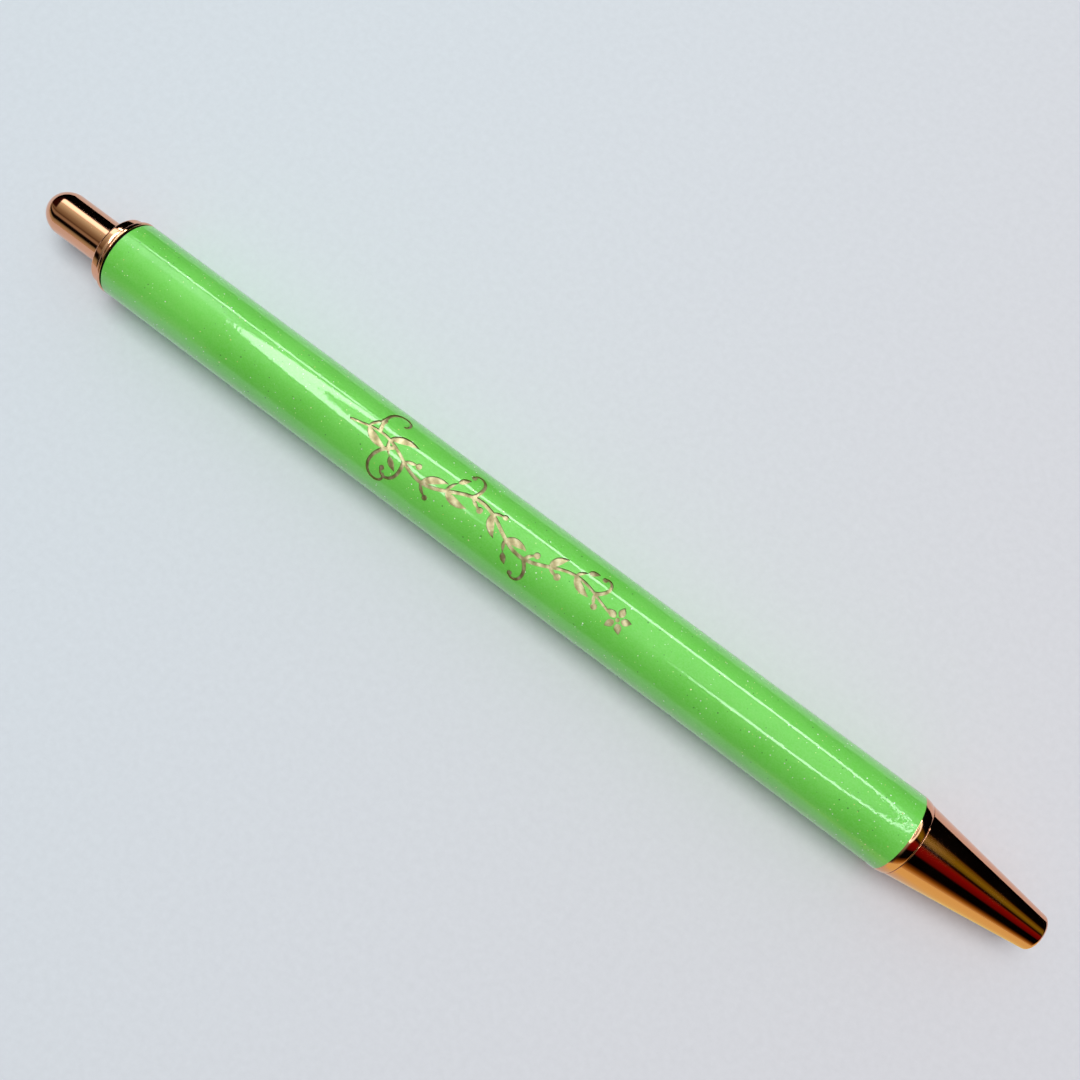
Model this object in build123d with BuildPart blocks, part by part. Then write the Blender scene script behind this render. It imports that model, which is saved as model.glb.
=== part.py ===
from build123d import *

import os
from math import cos, radians, sin, sqrt

# Retractable gel pen, lying on its side: axis along X, nose towards +X,
# underside on Z = 0, X = 0 at mid-length.
# Everything is turned about one axis, so the sizes are radii and lengths in millimetres.
# The radii grow from the inside out: the refill and the button set the bore of the barrel,
# and the walls around that bore set its outside.

# ---- clearances ----
running = 0.08  # radial, between pieces that slide or turn on each other
end_gap = 0.1  # axial, between pieces that nearly touch
seat_gap = 0.02  # axial, at the ends of the spring
thread_gap = 0.05  # radial, between the nose's thread and its bush, and around the O-ring
ball_gap = 0.02  # radial, between the ball and its socket

# ---- refill ----
refill_radius = 3.05
refill_wall = 0.45
refill_clearance = 0.15  # radial, around the refill where it slides
tip_recess = 2.0  # how far the ball stands inside the nose when retracted
ball_radius = 0.35
ball_showing = 0.22  # length of the ball in front of the rim that holds it
tip_radius = 1.15
tip_rim_wall = 0.1
tip_cone_length = 2.6
tip_showing = 9.0  # length of the metal tip in front of its holder
tip_in_holder = 3.0
tip_bore_radius = 0.6
tip_throat_radius = 0.2
holder_neck_radius = 1.6
holder_bore_radius = 0.9
holder_flange_length = 1.4
holder_plug_length = 5.0
tail_flange_length = 1.2
tail_plug_length = 4.0
vent_radius = 0.5
tip_bore_end = 1.3  # solid metal left behind the ball's centre
follower_length = 6.0
float_radius = 1.7
float_length = 4.6
refill_air_length = 7.0  # empty length behind the follower

# ---- spring ----
spring_wire = 0.35
spring_length = 17.0  # as fitted, with the tip retracted
spring_turns = 11

# ---- push button ----
button_radius = 2.8
button_rim = 0.12  # chamfer at the open end of the button
button_wall = 0.35
button_showing = 10.6  # from the collar to the end of the dome
skirt_engagement = 3.0  # length of the button inside the collar at rest
press_travel = 6.2
overtravel = 1.2  # how far a full press goes past the latched position

# ---- cam mechanism ----
shaft_shoulder = 0.25  # step from the part of the plunger inside the button to its shaft
crown_step = 0.2  # step from the shaft up to the crown
fin_height = 0.7  # least height of the fins above the crown
fin_count = 4
land_angle = 40.0  # width of each rib between two slots, in degrees
plunger_fin_angle = 44.0
cam_fin_angle = 30.0
plunger_fin_length = 2.0
cam_fin_length = 2.6
cam_collar_length = 0.6  # plain part of the cam in front of its fins
cam_boss_radius = 1.9
cam_boss_length = 4.1
tooth_count = 8
tooth_height = 0.7
cam_turn = 11.25  # how far the cam turns during a full press, in degrees
pilot_radius = 1.1
pilot_length = 2.5
plunger_bore_depth = 5.0
ramp_depth = 0.45  # of the saw teeth on the front ends of the ribs
housing_wall = 0.4
housing_rear_wall = 1.0

# ---- barrel and its ends ----
barrel_length = 112.7
tube_wall = 0.67
coat_thickness = 0.18
least_sleeve_wall = 0.4  # of the collar and of the bush, inside the barrel
collar_band_length = 1.3
collar_flange_length = 0.8
collar_band_step = 0.44  # how far the band stands in from the barrel's outside
collar_edge = 0.25
collar_grip = 4.7  # length of the mechanism held inside the collar
ring_length = 1.25
ring_front_step = 0.25
ring_wall = 0.3  # least wall around the O-ring
ring_spigot_length = 1.5
bush_length = 9.5

# ---- nose cone ----
cone_length = 17.1
cone_rear_step = 0.27  # how far the cone stands in from the barrel's outside
cone_tip_radius = 2.2
cone_tip_edge = 0.45
cone_joint_gap = 0.05
spigot_length = 8.0
spigot_wall = 0.5
mouth_length = 4.0  # narrow bore that guides the tip, shorter if the refill travels far
spring_seat_depth = 8.5  # from the nose's end back to the spring's seat
spring_clearance = 0.15  # radial, inside and outside the spring
seal_radius = 0.3  # of the O-ring's section
seal_groove_length = 0.75

# ---- radii, from the inside out ----
refill_bore = refill_radius + refill_clearance
refill_inner = refill_radius - refill_wall
spring_radius = holder_neck_radius + spring_clearance + spring_wire / 2
spring_bore = spring_radius + spring_wire / 2 + spring_clearance
neck_bore = holder_neck_radius + spring_clearance
mouth_radius = tip_radius + running
button_bore = button_radius + running
button_socket = button_radius - button_wall
shaft_radius = button_socket - shaft_shoulder
crown_radius = shaft_radius + crown_step
land_radius = crown_radius + running
guide_bore = max(crown_radius + fin_height + running, refill_bore)
fin_radius = guide_bore - running
housing_radius = guide_bore + housing_wall
thread_radius = refill_bore + spigot_wall
bush_bore = thread_radius + thread_gap
seal_bore = bush_bore + 2 * seal_radius + thread_gap
tube_bore = max(housing_radius, button_bore, bush_bore) + least_sleeve_wall
tube_radius = max(tube_bore + tube_wall, seal_bore + ring_wall + ring_front_step - coat_thickness)
barrel_radius = tube_radius + coat_thickness
axis_height = barrel_radius
cone_rear_radius = barrel_radius - cone_rear_step

# ---- places along X ----
collar_length = collar_band_length + collar_flange_length
overall_length = button_showing + collar_length + barrel_length + ring_length + cone_length
button_end = -overall_length / 2
dome_start = button_end + button_radius
collar_rear = button_end + button_showing
flange_start = collar_rear + collar_band_length
barrel_rear = collar_rear + collar_length
barrel_front = barrel_rear + barrel_length
ring_front = barrel_front + ring_length
nose_end = overall_length / 2

skirt_end = collar_rear + skirt_engagement
housing_rear = skirt_end + press_travel + 2 * end_gap
slots_rear = housing_rear + housing_rear_wall
plunger_fin_rear = slots_rear + end_gap
crown_base = plunger_fin_rear + plunger_fin_length
tooth_half_width = crown_radius * sin(radians(180 / tooth_count))
tooth_slope = tooth_height / tooth_half_width
tooth_lift = tooth_slope * crown_radius * radians(cam_turn)  # given back as the cam turns into mesh
cam_rear = crown_base + tooth_lift + running
cam_fin_rear = cam_rear + tooth_height + end_gap
cam_fin_front = cam_fin_rear + cam_fin_length
cam_front = cam_fin_front + cam_collar_length
refill_rear = cam_front + cam_boss_length
cam_travel = press_travel - tooth_lift
lands_front = cam_fin_rear + press_travel - overtravel - end_gap
housing_front = cam_fin_front + cam_travel + 5 * end_gap

ball_front = nose_end - tip_recess
ball_middle = ball_front - ball_radius
rim_front = ball_front - ball_showing
tip_bore_front = ball_middle - tip_bore_end
holder_front = ball_front - tip_showing
tip_rear = holder_front - tip_in_holder
spring_seat = nose_end - spring_seat_depth
flange_front = spring_seat - spring_length
flange_rear = flange_front - holder_flange_length
spigot_rear = ring_front - spigot_length
refill_bore_front = flange_front + cam_travel + 3 * end_gap
mouth_rear = max(nose_end - mouth_length, holder_front + cam_travel + end_gap)
tube_rear = refill_rear + tail_flange_length
ink_front = flange_rear - holder_plug_length
follower_rear = tube_rear + tail_plug_length + refill_air_length
ink_rear = follower_rear + follower_length
float_rear = follower_rear + (follower_length - float_length) / 2
bush_front = barrel_front - ring_spigot_length
bush_rear = bush_front - bush_length
cone_rear = ring_front + cone_joint_gap
seal_shelf = ring_front - seal_groove_length

pen_axis = Axis((0, 0, axis_height), (1, 0, 0))
# the section's X runs along the pen and its Y is up
section = Plane(origin=(0, 0, axis_height), x_dir=(1, 0, 0), z_dir=(0, -1, 0))


def across(x):
    """Plane across the pen, facing the nose: its X is the row's Y and its Y is up."""
    return Plane(origin=(x, 0, axis_height), x_dir=(0, 1, 0), z_dir=(1, 0, 0))


def pie(radius, angle):
    """Sector of a disc, centred on the local X axis."""
    with BuildSketch() as sector:
        with BuildLine():
            rim = CenterArc((0, 0), radius, -angle / 2, angle)
            Line((0, 0), rim @ 0)
            Line(rim @ 1, (0, 0))
        make_face()
    return sector.sketch


def wedge(point, base, half_width, radius):
    """Triangular prism from the axis out to a radius: its edge is at point, its base at base."""
    upward = Plane(origin=(0, 0, axis_height), x_dir=(1, 0, 0), z_dir=(0, 0, 1))
    with BuildPart() as prism:
        with BuildSketch(upward):
            with BuildLine():
                Polyline((point, 0), (base, half_width), (base, -half_width), close=True)
            make_face()
        extrude(amount=radius)
    return prism.part


def coil(start, length, radius, wire, turns):
    """Round wire wound about the pen's axis, forward from start."""
    middle = (start, 0, axis_height)
    path = Helix(length / turns, length, radius, center=middle, direction=(1, 0, 0))
    with BuildPart() as wound:
        with BuildSketch(Plane(origin=path @ 0, z_dir=path % 0)):
            Circle(wire / 2)
        sweep(path=path, is_frenet=True)
    return wound.part


# ---- barrel ----
with BuildPart() as barrel_tube:
    with BuildSketch(across(barrel_rear)):
        Circle(tube_radius)
        Circle(tube_bore, mode=Mode.SUBTRACT)
    extrude(amount=barrel_length)

with BuildPart() as glitter_coat:
    with BuildSketch(across(barrel_rear)):
        Circle(barrel_radius)
        Circle(tube_radius, mode=Mode.SUBTRACT)
    extrude(amount=barrel_length)

# ---- rear collar: band, flange, and a long spigot that holds the mechanism ----
with BuildPart() as rear_collar:
    with BuildSketch(across(collar_rear)):
        Circle(barrel_radius - collar_band_step)
    extrude(amount=collar_band_length)
    fillet(rear_collar.edges().group_by(Axis.X)[0], collar_edge)
    with BuildSketch(across(flange_start)):
        Circle(barrel_radius)
    extrude(amount=collar_flange_length)
    flange_edges = rear_collar.edges().filter_by(GeomType.CIRCLE).sort_by(SortBy.RADIUS)[-2:]
    fillet(flange_edges, collar_edge)
    with BuildSketch(across(barrel_rear)):
        Circle(tube_bore)
    extrude(amount=housing_rear + collar_grip - barrel_rear)
    with BuildSketch(across(collar_rear)):
        Circle(button_bore)
    extrude(amount=housing_rear - collar_rear, mode=Mode.SUBTRACT)
    with BuildSketch(across(housing_rear)):
        Circle(housing_radius)
    extrude(amount=collar_grip, mode=Mode.SUBTRACT)

# ---- cam housing: a sleeve whose ribs have saw-toothed front ends, to hold the cam forward ----
slot_pie = pie(guide_bore, 360 / fin_count - land_angle)
rib_half_width = guide_bore * sin(radians(land_angle / 2))
with BuildPart() as cam_housing:
    with BuildSketch(across(housing_rear)):
        Circle(housing_radius)
        Circle(shaft_radius + running, mode=Mode.SUBTRACT)
    extrude(amount=housing_rear_wall)
    with BuildSketch(across(slots_rear)):
        Circle(housing_radius)
        Circle(land_radius, mode=Mode.SUBTRACT)
        with PolarLocations(0, fin_count):
            add(slot_pie, mode=Mode.SUBTRACT)
    extrude(amount=lands_front - slots_rear)
    with BuildSketch(across(lands_front)):
        Circle(housing_radius)
        Circle(guide_bore, mode=Mode.SUBTRACT)
    extrude(amount=housing_front - lands_front)
    ramp_points = [
        (lands_front, rib_half_width),
        (lands_front - ramp_depth, rib_half_width),
        (lands_front, -rib_half_width),
    ]
    for rib in range(fin_count):
        rib_middle = (rib + 0.5) * 360 / fin_count
        level = Plane(section.origin, x_dir=(1, 0, 0), z_dir=(0, 0, 1))
        beside_rib = level.rotated((rib_middle, 0, 0))
        with BuildSketch(beside_rib):
            with BuildLine():
                Polyline(*ramp_points, close=True)
            make_face()
        extrude(amount=guide_bore * cos(radians(land_angle / 2)), mode=Mode.SUBTRACT)

# ---- push button ----
with BuildPart() as push_button:
    with BuildSketch(section):
        with BuildLine():
            Line((skirt_end, 0), (skirt_end, button_radius))
            Line((skirt_end, button_radius), (dome_start, button_radius))
            CenterArc((dome_start, 0), button_radius, 90, 90)
            Line((button_end, 0), (skirt_end, 0))
        make_face()
    revolve(axis=pen_axis)
    chamfer(push_button.edges().group_by(Axis.X)[-1], button_rim)
    with BuildSketch(across(dome_start)):
        Circle(button_socket)
    extrude(amount=skirt_end - dome_start, mode=Mode.SUBTRACT)

# ---- plunger: plug in the button, shaft, fins in the slots, and a toothed crown ----
plunger_fin = pie(fin_radius, plunger_fin_angle)
groove_end = crown_base + 2 * tooth_height
crown_groove = wedge(crown_base, groove_end, 2 * tooth_half_width, 2 * crown_radius)
with BuildPart() as plunger:
    with BuildSketch(across(dome_start + end_gap)):
        Circle(button_socket)
    extrude(amount=skirt_end - dome_start - end_gap)
    with BuildSketch(across(skirt_end)):
        Circle(shaft_radius)
    extrude(amount=plunger_fin_rear - skirt_end)
    with BuildSketch(across(plunger_fin_rear)):
        Circle(crown_radius)
        with PolarLocations(0, fin_count):
            add(plunger_fin)
    extrude(amount=plunger_fin_length)
    with BuildSketch(across(crown_base)):
        Circle(crown_radius)
    extrude(amount=tooth_height)
    for tooth in range(tooth_count):
        add(crown_groove.rotate(pen_axis, tooth * 360 / tooth_count), mode=Mode.SUBTRACT)
    with BuildSketch(across(crown_base + tooth_height)):
        Circle(pilot_radius + running)
    extrude(amount=-plunger_bore_depth, mode=Mode.SUBTRACT)

# ---- rotating cam: teeth that meet the crown, fins, and a boss that pushes the refill ----
cam_fin = pie(fin_radius, cam_fin_angle)
cam_ridge = wedge(cam_rear, cam_rear + tooth_height, tooth_half_width, 2 * crown_radius)
with BuildPart() as cam_teeth:
    for tooth in range(tooth_count):
        add(cam_ridge.rotate(pen_axis, tooth * 360 / tooth_count - cam_turn))
    with BuildSketch(across(cam_rear)):
        Circle(crown_radius)
    extrude(amount=tooth_height, mode=Mode.INTERSECT)

with BuildPart() as rotating_cam:
    with BuildSketch(across(cam_rear + tooth_height)):
        Circle(crown_radius)
    extrude(amount=cam_front - cam_rear - tooth_height)
    add(cam_teeth.part)
    with BuildSketch(across(cam_fin_rear)):
        with PolarLocations(0, fin_count, start_angle=-cam_turn / 2):
            add(cam_fin)
    extrude(amount=cam_fin_length)
    with BuildSketch(across(cam_front)):
        Circle(cam_boss_radius)
    extrude(amount=cam_boss_length)
    with BuildSketch(across(cam_rear - pilot_length)):
        Circle(pilot_radius)
    extrude(amount=pilot_length + tooth_height)

# ---- refill ----
with BuildPart() as refill_plug:
    with BuildSketch(across(refill_rear)):
        Circle(refill_radius)
    extrude(amount=tail_flange_length)
    with BuildSketch(across(tube_rear)):
        Circle(refill_inner)
    extrude(amount=tail_plug_length)
    with BuildSketch(across(refill_rear)):
        Circle(vent_radius)
    extrude(amount=tail_flange_length + tail_plug_length, mode=Mode.SUBTRACT)

with BuildPart() as refill_tube:
    with BuildSketch(across(tube_rear)):
        Circle(refill_radius)
        Circle(refill_inner, mode=Mode.SUBTRACT)
    extrude(amount=flange_rear - tube_rear)

# a plug of clear grease that follows the ink, steadied by a float inside it
with BuildPart() as ink_follower:
    with BuildSketch(across(follower_rear)):
        Circle(refill_inner)
    extrude(amount=follower_length)
    with BuildSketch(across(float_rear)):
        Circle(float_radius)
    extrude(amount=float_length, mode=Mode.SUBTRACT)

with BuildPart() as follower_float:
    with BuildSketch(across(float_rear)):
        Circle(float_radius)
    extrude(amount=float_length)

with BuildPart() as gel_ink:
    with BuildSketch(across(ink_rear)):
        Circle(refill_inner)
    extrude(amount=ink_front - ink_rear)

with BuildPart() as tip_holder:
    with BuildSketch(across(ink_front)):
        Circle(refill_inner)
    extrude(amount=holder_plug_length)
    with BuildSketch(across(flange_rear)):
        Circle(refill_radius)
    extrude(amount=holder_flange_length)
    with BuildSketch(across(flange_front)):
        Circle(holder_neck_radius)
    extrude(amount=holder_front - flange_front)
    with BuildSketch(across(ink_front)):
        Circle(holder_bore_radius)
    extrude(amount=holder_front - ink_front, mode=Mode.SUBTRACT)
    with BuildSketch(across(tip_rear)):
        Circle(tip_radius)
    extrude(amount=tip_in_holder, mode=Mode.SUBTRACT)

rim_radius = sqrt(ball_radius**2 - (ball_radius - ball_showing) ** 2) + ball_gap + tip_rim_wall
with BuildPart() as writing_tip:
    with BuildSketch(section):
        with BuildLine():
            Polyline(
                (tip_rear, 0),
                (tip_rear, tip_radius),
                (rim_front - tip_cone_length, tip_radius),
                (rim_front, rim_radius),
                (rim_front, 0),
                close=True,
            )
        make_face()
    revolve(axis=pen_axis)
    with BuildSketch(across(tip_rear)):
        Circle(tip_bore_radius)
    extrude(amount=tip_bore_front - tip_rear, mode=Mode.SUBTRACT)
    with BuildSketch(across(tip_bore_front)):
        Circle(tip_throat_radius)
    extrude(amount=tip_bore_end, mode=Mode.SUBTRACT)
    with Locations((ball_middle, 0, axis_height)):
        Sphere(ball_radius + ball_gap, mode=Mode.SUBTRACT)

with BuildPart() as tip_ball:
    with Locations((ball_middle, 0, axis_height)):
        Sphere(ball_radius)

# ---- return spring ----
spring_coil_length = spring_length - spring_wire - 2 * seat_gap
coil_start = flange_front + seat_gap + spring_wire / 2
with BuildPart() as return_spring:
    add(coil(coil_start, spring_coil_length, spring_radius, spring_wire, spring_turns))

# ---- front of the barrel ----
with BuildPart() as front_ring:
    with BuildSketch(section):
        with BuildLine():
            Line((bush_front, bush_bore), (bush_front, tube_bore))
            Line((bush_front, tube_bore), (barrel_front, tube_bore))
            Line((barrel_front, tube_bore), (barrel_front, barrel_radius))
            crown_end = (ring_front, barrel_radius - ring_front_step)
            crown = TangentArc((barrel_front, barrel_radius), crown_end, tangent=(1, 0))
            Line(crown @ 1, (ring_front, seal_bore))
            Line((ring_front, seal_bore), (seal_shelf, seal_bore))
            Line((seal_shelf, seal_bore), (seal_shelf, bush_bore))
            Line((seal_shelf, bush_bore), (bush_front, bush_bore))
        make_face()
    revolve(axis=pen_axis)

with BuildPart() as threaded_bush:
    with BuildSketch(across(bush_rear)):
        Circle(tube_bore)
        Circle(bush_bore, mode=Mode.SUBTRACT)
    extrude(amount=bush_length)

with BuildPart() as o_ring:
    with BuildSketch(section):
        with Locations((ring_front - seal_groove_length / 2, bush_bore + seal_radius)):
            Circle(seal_radius)
    revolve(axis=pen_axis)

# ---- nose cone ----
with BuildPart() as nose_cone:
    with BuildSketch(section):
        with BuildLine():
            Polyline(
                (spigot_rear, 0),
                (spigot_rear, thread_radius),
                (cone_rear, thread_radius),
                (cone_rear, cone_rear_radius),
                (nose_end, cone_tip_radius),
                (nose_end, 0),
                close=True,
            )
        make_face()
    revolve(axis=pen_axis)
    fillet(nose_cone.edges().group_by(Axis.X)[-1], cone_tip_edge)
    with BuildSketch(across(spigot_rear)):
        Circle(refill_bore)
    extrude(amount=refill_bore_front - spigot_rear, mode=Mode.SUBTRACT)
    with BuildSketch(across(refill_bore_front)):
        Circle(spring_bore)
    extrude(amount=spring_seat - refill_bore_front, mode=Mode.SUBTRACT)
    with BuildSketch(across(spring_seat)):
        Circle(neck_bore)
    extrude(amount=mouth_rear - spring_seat, mode=Mode.SUBTRACT)
    with BuildSketch(across(mouth_rear)):
        Circle(mouth_radius)
    extrude(amount=nose_end - mouth_rear, mode=Mode.SUBTRACT)

pieces = {
    "push_button": push_button,
    "plunger": plunger,
    "rotating_cam": rotating_cam,
    "cam_housing": cam_housing,
    "rear_collar": rear_collar,
    "barrel_tube": barrel_tube,
    "glitter_coat": glitter_coat,
    "front_ring": front_ring,
    "threaded_bush": threaded_bush,
    "o_ring": o_ring,
    "nose_cone": nose_cone,
    "return_spring": return_spring,
    "refill_plug": refill_plug,
    "refill_tube": refill_tube,
    "ink_follower": ink_follower,
    "follower_float": follower_float,
    "gel_ink": gel_ink,
    "tip_holder": tip_holder,
    "writing_tip": writing_tip,
    "tip_ball": tip_ball,
}

os.makedirs("parts", exist_ok=True)
for name, piece in pieces.items():
    piece.part.label = name
    export_step(piece.part, f"parts/{name}.step")

print("overall", round(overall_length, 3), "barrel radius", round(barrel_radius, 3))
print("refill travel", round(cam_travel, 5), "tooth lift", round(tooth_lift, 5))
print("press travel", press_travel, "cam turn", cam_turn, "nose spigot", spigot_length)
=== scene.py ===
import bmesh
import bpy
import math
import random
from mathutils import Matrix, Vector


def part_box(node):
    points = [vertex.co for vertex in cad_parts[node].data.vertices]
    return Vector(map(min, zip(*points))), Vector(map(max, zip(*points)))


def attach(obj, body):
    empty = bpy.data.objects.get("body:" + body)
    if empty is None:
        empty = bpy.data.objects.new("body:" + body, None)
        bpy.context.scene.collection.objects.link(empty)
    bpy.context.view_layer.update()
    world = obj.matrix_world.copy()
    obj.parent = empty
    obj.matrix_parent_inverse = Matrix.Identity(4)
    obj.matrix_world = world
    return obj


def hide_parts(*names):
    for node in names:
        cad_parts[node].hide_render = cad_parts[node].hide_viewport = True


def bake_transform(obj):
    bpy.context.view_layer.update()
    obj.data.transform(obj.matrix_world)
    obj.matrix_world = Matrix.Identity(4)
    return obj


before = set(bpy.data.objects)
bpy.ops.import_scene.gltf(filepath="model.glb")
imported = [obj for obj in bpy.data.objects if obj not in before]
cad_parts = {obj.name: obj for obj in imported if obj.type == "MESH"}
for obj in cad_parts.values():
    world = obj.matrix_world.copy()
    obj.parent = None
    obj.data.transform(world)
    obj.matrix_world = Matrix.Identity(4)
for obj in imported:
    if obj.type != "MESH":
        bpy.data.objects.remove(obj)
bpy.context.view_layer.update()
print("frame loaded:", len(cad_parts), "nodes")

mm = 0.001
fullTurn = 2 * math.pi
sameSpot = 2e-6    # corners this close, in metres, are taken as one
mergeWithin = 1e-7
scene = bpy.context.scene
scene.view_settings.view_transform = "Standard"


# sizes that everything else is placed by, all from the frame
def nodeSpan(node):
    # rear end, front end and radius of a round node
    low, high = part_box(node)
    return low.x, high.x, (high.z - low.z) / 2


barrelRear, barrelFront, barrelRadius = nodeSpan("glitter_coat")
tubeRadius = nodeSpan("barrel_tube")[2]
axisHeight = (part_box("glitter_coat")[0].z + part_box("glitter_coat")[1].z) / 2
penAxis = Vector((0, 0, axisHeight))


# materials
def toLinear(hexColour, strength=1.0):
    channels = [int(hexColour[i:i + 2], 16) / 255 for i in (1, 3, 5)]
    linear = [c / 12.92 if c <= 0.04045 else ((c + 0.055) / 1.055) ** 2.4 for c in channels]
    return [c * strength for c in linear] + [1.0]


def feed(node, inputs):
    # by socket: a value to set, an output to link, or a node whose first output is linked
    for name, value in inputs.items():
        if isinstance(value, bpy.types.Node):
            value = next(output for output in value.outputs if output.enabled)
        if isinstance(value, bpy.types.NodeSocket):
            node.id_data.links.new(value, node.inputs[name])
        else:
            node.inputs[name].default_value = value


def addNode(tree, kind, inputs=None, stops=(), **settings):
    # stops are a ramp's positions and colours
    node = tree.nodes.new("ShaderNode" + kind)
    for name, value in settings.items():
        setattr(node, name, value)
    feed(node, inputs or {})
    if stops:
        elements = node.color_ramp.elements
        while len(elements) < len(stops):
            elements.new(0.5)
        for element, (position, *colour) in zip(elements, stops):
            element.position, element.color = position, toLinear(*colour)
    return node


def startMaterial(name, values):
    # values are constants on the shader's own sockets; patterns start from the object's place
    material = bpy.data.materials.new(name)
    material.use_nodes = True
    tree = material.node_tree
    shader = tree.nodes["Principled BSDF"]
    feed(shader, values)
    place = addNode(tree, "TexCoord").outputs["Object"]
    return material, tree, shader, place


def roseGoldPlate():
    # rose gold plating over polished brass: mirror bright, with a breath of haze from handling
    material, tree, shader, place = startMaterial("roseGoldPlating", {
        "Base Color": toLinear("#EAA987"), "Metallic": 1.0})
    haze = addNode(tree, "TexNoise", {
        "Vector": place, "Scale": 1 / (4 * mm), "Detail": 4.0, "Roughness": 0.6})
    rough = addNode(tree, "MapRange", {
        "Value": haze, "From Min": 0.35, "From Max": 0.75,
        "To Min": 0.045, "To Max": 0.11})
    feed(shader, {"Roughness": rough})
    # polishing lines run round the pen, about 0.06 mm apart
    stretch = addNode(tree, "Mapping", {"Vector": place, "Scale": (1.0, 0.03, 0.03)})
    lines = addNode(tree, "TexNoise", {"Vector": stretch, "Scale": 1 / (0.06 * mm), "Detail": 2.0})
    bump = addNode(tree, "Bump", {"Height": lines, "Strength": 0.03, "Distance": 0.01 * mm})
    feed(shader, {"Normal": bump})
    return material


# glitter: spacing and largest radius in mm, the share of cells with a flake, and the colours
glitterFlakesAndPaintedGlints = [
    # the flakes are real glitter, but the white and pale gold colours of the first two layers are
    # painted glints, bright in any light
    {"spacing": 0.70, "size": 0.09, "share": 0.75, "colours": ("#FFFFFF", "#FFF3C4", "#EFFFE8")},
    {"spacing": 0.48, "size": 0.062, "share": 0.42, "colours": ("#F4FFB8", "#FFFFFF", "#FFCF8A")},
    {"spacing": 0.80, "size": 0.095, "share": 0.6, "colours": ("#2F8A26", "#3F9A34", "#256B1E")}]


def glitterLacquer():
    # clear gloss lacquer over lime green pigment, with glitter flakes of about 0.15 mm in it
    material, tree, shader, place = startMaterial("glitterLacquer", {
        "Roughness": 0.5, "IOR": 1.7,
        "Coat Weight": 1.0, "Coat Roughness": 0.02, "Coat IOR": 1.52})
    cloud = addNode(tree, "TexNoise", {
        "Vector": place, "Scale": 1 / (9 * mm), "Detail": 3.0, "Roughness": 0.55})
    body = addNode(tree, "ValToRGB", {"Fac": cloud}, [(0.3, "#62CE3A"), (0.7, "#6ED84A")])
    # pearly pigment: soft grains just coarse enough to see
    pearl = addNode(tree, "TexVoronoi", {"Vector": place, "Scale": 1 / (0.16 * mm)})
    pearlGrey = addNode(tree, "SeparateColor", {"Color": pearl.outputs["Color"]})
    pearlMix = addNode(tree, "MapRange", {
        "Value": pearlGrey.outputs["Red"], "To Max": 0.13})
    colour = addNode(tree, "Mix", {
        "Factor": pearlMix, "A": body,
        "B": toLinear("#B4EFA0")}, data_type="RGBA")
    # flakes settle in crowds some 6 mm apart
    crowd = addNode(tree, "TexNoise", {"Vector": place, "Scale": 1 / (6 * mm), "Detail": 2.0})
    flakeLayers = []
    for index, flake in enumerate(glitterFlakesAndPaintedGlints):
        # each layer is slid aside, so that its flakes don't lie on the last one's
        slid = addNode(tree, "Mapping", {
            "Vector": place, "Location": (index * 0.0131, index * 0.0077, index * 0.0059)})
        cells = addNode(tree, "TexVoronoi", {
            "Vector": slid, "Scale": 1 / (flake["spacing"] * mm)})
        pick = addNode(tree, "SeparateColor", {"Color": cells.outputs["Color"]})
        reach = addNode(tree, "MapRange", {
            "Value": pick.outputs["Blue"], "To Min": 0.45 * flake["size"] / flake["spacing"],
            "To Max": flake["size"] / flake["spacing"]})
        near = addNode(tree, "Math", {
            0: cells.outputs["Distance"], 1: reach}, operation="LESS_THAN")
        share = addNode(tree, "MapRange", {
            "Value": crowd, "From Min": 0.35, "From Max": 0.65,
            "To Min": 0.3 * flake["share"], "To Max": 1.5 * flake["share"]})
        there = addNode(tree, "Math", {0: pick.outputs["Red"], 1: share}, operation="LESS_THAN")
        mask = addNode(tree, "Math", {0: near, 1: there}, operation="MULTIPLY")
        # each flake's colour; in the first two layers its whiteness is a painted glint
        flakeColourAndPaintedGlint = addNode(tree, "ValToRGB", {"Fac": pick.outputs["Green"]},
                       list(zip((0.0, 0.45, 0.75), flake["colours"])))
        flakeColourAndPaintedGlint.color_ramp.interpolation = "CONSTANT"
        colour = addNode(tree, "Mix", {"Factor": mask, "A": colour, "B": flakeColourAndPaintedGlint}, data_type="RGBA")
        flakeLayers.append((mask, cells))
    feed(shader, {"Base Color": colour})
    # the first layer's flakes are foil, each lying at its own tilt: some flash, some go dark
    foil, foilCells = flakeLayers[0]
    shine = addNode(tree, "Math", {0: foil, 1: 0.3}, operation="MULTIPLY")
    feed(shader, {"Metallic": shine})
    tilt = addNode(tree, "VectorMath", {
        0: foilCells.outputs["Color"], 1: (0.5, 0.5, 0.5)}, operation="SUBTRACT")
    tilted = addNode(tree, "VectorMath", {0: tilt, "Scale": foil}, operation="SCALE")
    facing = addNode(tree, "NewGeometry")
    leaning = addNode(tree, "VectorMath", {
        0: tilted, 1: (0.7, 0.7, 0.7), 2: facing.outputs["Normal"]},
        operation="MULTIPLY_ADD")
    unit = addNode(tree, "VectorMath", {0: leaning}, operation="NORMALIZE")
    feed(shader, {"Normal": unit})
    # flakes lift the lacquer and it dries in shallow swells, so reflections have ragged edges
    lift = addNode(tree, "MapRange", {
        "Value": foilCells.outputs["Distance"], "From Max": 0.42,
        "To Min": 0.35, "To Max": 0.0}, interpolation_type="SMOOTHSTEP")
    swell = addNode(tree, "TexNoise", {
        "Vector": place, "Scale": 1 / (1.1 * mm), "Detail": 3.0, "Roughness": 0.6})
    surface = addNode(tree, "Math", {0: swell, 1: 1.7, 2: lift}, operation="MULTIPLY_ADD")
    bump = addNode(tree, "Bump", {"Height": surface, "Strength": 1.0, "Distance": 0.006 * mm})
    feed(shader, {"Coat Normal": bump})
    return material


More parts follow.
